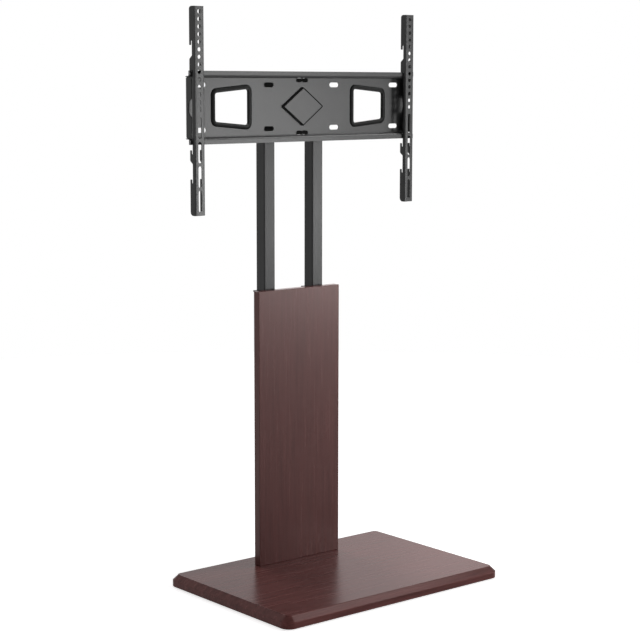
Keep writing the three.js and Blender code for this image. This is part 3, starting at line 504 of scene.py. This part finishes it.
def paint_shade(piece, wanted):
    """Paints the wanted faces of a piece matt black, as painted shade."""
    piece.data.materials.append(PAINTED_SHADE_BLACK)
    for face in piece.data.polygons:
        if wanted(face):
            face.material_index = 1


# Plate: its web's rear face, its sheet, and the gap under what sits on it
WEB_BACK, PLATE_SHEET, SEAT = -37.6, 2, 0.25
FACE_LEVEL = WEB_BACK - PLATE_SHEET - SEAT

# Window trims: a crowned ring with a sleeve through the plate and a snap bead behind it
WINDOW_CENTRE, WINDOW_WIDTH = 343 * 0.6093, 96
WINDOW_TALL, WINDOW_SHORT, WINDOW_RADIUS = 38.3, 30, 5.5
TRIM_WIDTH, TRIM_PROUD, TRIM_WALL, TRIM_SNAP, TRIM_REAR = 10, 3, 2.2, 1.3, 1.6
TRIM_CROWN = ((1, 0), (0.97, 0.22), (0.8, 0.6), (0.45, 0.95), (0.12, 1), (0.01, 0.8), (0, 0.6))
CROWN_PARTS = 3


def window_corners(side):
    inner = WINDOW_CENTRE - WINDOW_WIDTH / 2
    outer = WINDOW_CENTRE + WINDOW_WIDTH / 2
    corners = (
        (inner, -WINDOW_TALL),
        (outer, -WINDOW_SHORT),
        (outer, WINDOW_SHORT),
        (inner, WINDOW_TALL),
    )
    return corners if side > 0 else [(-x, z) for x, z in reversed(corners)]


def window_trim(side, word):
    rear = WEB_BACK + SEAT
    crown = smooth_through(TRIM_CROWN, CROWN_PARTS)
    profile = [
        (0, rear + TRIM_REAR),
        (TRIM_WALL, rear + TRIM_REAR),
        (TRIM_WALL + TRIM_SNAP, rear),
        (TRIM_WALL, rear),
        (TRIM_WALL, FACE_LEVEL),
        *((TRIM_WIDTH * out, FACE_LEVEL - TRIM_PROUD * up) for out, up in crown),
    ]
    corners = window_corners(side)
    loops = []
    for offset, depth in profile:
        outline = moved_out(corners, WINDOW_RADIUS, offset, TRIM_STEPS)
        loops.append([on_mount(x, depth, z) for x, z in outline])
    lofted(f"window_trim_{word}_ring", loops, f"window_trim_{word}", ring=True)


# Diamond cap: a shallow cover with eased edges in a rim painted black, which is painted shade
# around the cap
DIAMOND_WIDE, DIAMOND_TALL, DIAMOND_PROUD = 62.6, 42.6, 4.2
DIAMOND_RADIUS, DIAMOND_EASE, DIAMOND_WALL = 2.5, 0.4, 1.2
RIM_WIDTH, RIM_DROP, PAINTED_RIM_MARGIN = 2.8, 0.7, 0.2


def diamond_cap():
    front = FACE_LEVEL - DIAMOND_PROUD
    rim = front + RIM_DROP
    ease_centre = (-RIM_WIDTH - DIAMOND_EASE, front + DIAMOND_EASE)
    levels = [
        (-DIAMOND_WALL, front + DIAMOND_WALL),
        (-DIAMOND_WALL, FACE_LEVEL),
        (0, FACE_LEVEL),
        (0, rim),
        (-RIM_WIDTH, rim),
        *arc_points(ease_centre, DIAMOND_EASE, 0, -90, EDGE_STEPS),
    ]
    corners = ((0, -DIAMOND_TALL), (DIAMOND_WIDE, 0), (0, DIAMOND_TALL), (-DIAMOND_WIDE, 0))
    loops = []
    for offset, depth in levels:
        outline = moved_out(corners, DIAMOND_RADIUS, offset, DIAMOND_STEPS)
        loops.append([on_mount(x, depth, z) for x, z in outline])
    piece = lofted("diamond_cap_cover", loops, "diamond_cap")
    # The rim's faces are painted black: a painted shade line along the gap round the cap
    paint_shade(piece, lambda face: abs(forward(face) + rim) < PAINTED_RIM_MARGIN)


# Nodes whose own shape is right get rounded edges
MERGE_DISTANCE = 2e-6
FLAT_ANGLE = math.radians(0.5)
EASED_ANGLE = math.radians(40)
EASED_SEGMENTS = 2


def eased(node, radius):
    work = bmesh.new()
    work.from_mesh(NODES[node].data)
    bmesh.ops.remove_doubles(work, verts=work.verts, dist=MERGE_DISTANCE)
    bmesh.ops.dissolve_limit(work, angle_limit=FLAT_ANGLE, verts=work.verts, edges=work.edges)
    mesh = bpy.data.meshes.new(node + "_eased")
    work.to_mesh(mesh)
    work.free()
    piece = add_piece(node + "_eased", mesh, node)
    bevel = piece.modifiers.new("ease", "BEVEL")
    bevel.width = radius * MM
    bevel.segments = EASED_SEGMENTS
    bevel.limit_method = "ANGLE"
    bevel.angle_limit = EASED_ANGLE
    bevel.use_clamp_overlap = True
    shade(piece)
    return piece


# Each group of nodes has a stem, endings and an edge radius
ALONE = ("",)
SIDES = ("_left", "_right")
NUMBERS = ("_1", "_2", "_3", "_4")
PAD_PLACES = ("_front_left", "_front_right", "_rear_left", "_rear_right", "_centre")
EASED_NODES = (
    ("post", SIDES, 1.0),
    ("post_cap", SIDES, 0.8),
    ("post_glide", SIDES, 0.5),
    ("sleeve", SIDES, 0.4),
    ("sleeve_back", SIDES, 0.3),
    ("sleeve_collar", SIDES, 0.6),
    ("lock_boss", SIDES, 0.4),
    ("lock_knob", SIDES, 0.8),
    ("arm", SIDES, 0.35),
    ("foot_plate", ALONE, 0.5),
    ("panel_strap", ("_lower", "_upper"), 0.4),
    ("crossbar", ALONE, 0.6),
    ("mount_plate", ALONE, 0.35),
    ("swivel_bracket", ALONE, 0.4),
    ("pivot_bolt", ALONE, 0.5),
    ("pivot_nut", ALONE, 0.5),
    ("pivot_washer", ("_upper", "_lower"), 0.3),
    ("pivot_bush", ("_upper", "_lower"), 0.3),
    ("foot_bolt", NUMBERS, 0.4),
    ("foot_nut", NUMBERS, 0.4),
    ("plate_bolt", NUMBERS, 0.3),
    ("plate_nut", NUMBERS, 0.3),
    ("panel_screw", NUMBERS, 0.2),
    ("base_pad", PAD_PLACES, 0.4),
)

base_board()
front_panel()
window_trim(-1, "left")
window_trim(1, "right")
diamond_cap()
pieces = {}
for stem, endings, ease in EASED_NODES:
    for ending in endings:
        pieces[stem + ending] = eased(stem + ending, ease)
# The posts get the darker copy of the steel coat: painted shade
for ending in SIDES:
    pieces["post" + ending].data.materials[0] = POST_SHADED_COAT

# The bracket's tabs show in the plate's openings, and their faces are painted black: painted
# shade inside the openings
paint_shade(pieces["swivel_bracket"], lambda face: forward(face) > -WEB_BACK)


# Floor, world and lamps

WHITE = (1, 1, 1, 1)
FLOOR_COLOUR = (0.82, 0.82, 0.82, 1)
FLOOR_ROUGHNESS = 0.9
FLOOR_GLOW = 0.69
FLOOR_REACH, FLOOR_SIDES = 3.2, 96
WORLD_FILL = 0.1
WORLD_SEEN = 1.0

# Area lamps: name, place, aim, width, height, watts
LAMPS = (
    ("side_near", (2.35, -2.5, 1.0), (0, 0, 1.0), 0.4, 1.2, 29),
    ("side_mid", (2.75, -2.25, 1.0), (0, 0, 1.0), 0.6, 1.2, 4),
    ("side_low", (2.4, -2.9, 0.4), (0, 0, 0.8), 1.2, 0.5, 21),
    ("bevel", (1.75, -0.85, 2.3), (0, -0.3, 0), 0.8, 0.8, 20),
    ("left", (-3.2, -0.4, 1.6), (0, 0, 0.8), 1.6, 1.8, 18),
    ("top", (0.2, 0.6, 3.2), (0, -0.1, 0), 1.8, 1.8, 6),
    ("rear", (2.85, 2.75, 1.4), (0, 0, 0.3), 1.2, 1.0, 2.5),
    ("rear_right", (3.5, 2.4, 1.4), (0.2, 0, 0.2), 1.4, 1.0, 2.5),
    ("back", (0.4, 3.6, 2.6), (0, 0, 0.8), 1.6, 1.6, 55),
)

# The lamps behind the base are warm: the wood's sheen is redder than the steel's
WARM_LAMPS = ("rear", "rear_right")
WARM_WHITE = (1.0, 0.70, 0.69)


def seen_directly(tree):
    """1 for rays that show the background: from the camera, in gloss or through glass."""
    path = tree.nodes.new("ShaderNodeLightPath")
    seen = path.outputs["Is Camera Ray"]
    for output in ("Is Glossy Ray", "Is Transmission Ray"):
        either = tree.nodes.new("ShaderNodeMath")
        either.operation = "MAXIMUM"
        tree.links.new(seen, either.inputs[0])
        tree.links.new(path.outputs[output], either.inputs[1])
        seen = either.outputs["Value"]
    return seen


def make_floor():
    """A pale disc that keeps the object's shadow and glows up to the world's white."""
    mesh = bpy.data.meshes.new("floor")
    rim = arc_points((0, 0), FLOOR_REACH, 0, 360, FLOOR_SIDES)[:-1]
    mesh.from_pydata([(x, y, 0) for x, y in rim], [], [range(FLOOR_SIDES)])
    floor = bpy.data.objects.new("floor", mesh)
    bpy.context.scene.collection.objects.link(floor)
    material = bpy.data.materials.new("floor")
    material.use_nodes = True
    tree = material.node_tree
    shader = tree.nodes["Principled BSDF"]
    shader.inputs["Base Color"].default_value = FLOOR_COLOUR
    shader.inputs["Roughness"].default_value = FLOOR_ROUGHNESS
    shader.inputs["Specular IOR Level"].default_value = 0.0
    shader.inputs["Emission Color"].default_value = WHITE
    glow = tree.nodes.new("ShaderNodeMath")
    glow.operation = "MULTIPLY"
    glow.inputs[1].default_value = FLOOR_GLOW
    tree.links.new(seen_directly(tree), glow.inputs[0])
    tree.links.new(glow.outputs["Value"], shader.inputs["Emission Strength"])
    mesh.materials.append(material)


def make_world():
    """White where it is seen, and a faint fill for the rest of the light."""
    world = bpy.data.worlds.new("world")
    bpy.context.scene.world = world
    world.use_nodes = True
    tree = world.node_tree
    background = tree.nodes["Background"]
    background.inputs["Color"].default_value = WHITE
    level = tree.nodes.new("ShaderNodeMapRange")
    level.inputs["To Min"].default_value = WORLD_FILL
    level.inputs["To Max"].default_value = WORLD_SEEN
    tree.links.new(seen_directly(tree), level.inputs["Value"])
    tree.links.new(level.outputs["Result"], background.inputs["Strength"])


def make_lamp(name, place, target, width, height, power):
    data = bpy.data.lights.new(name, "AREA")
    data.shape = "RECTANGLE"
    data.size = width
    data.size_y = height
    data.energy = power
    if name in WARM_LAMPS:
        data.color = WARM_WHITE
    lamp = bpy.data.objects.new(name, data)
    aim = Vector(target) - Vector(place)
    lamp.rotation_euler = aim.to_track_quat("-Z", "Y").to_euler()
    lamp.location = place
    lamp.visible_camera = False
    bpy.context.scene.collection.objects.link(lamp)


make_camera()
make_floor()
make_world()
for lamp in LAMPS:
    make_lamp(*lamp)
bpy.context.scene.view_settings.view_transform = "Standard"
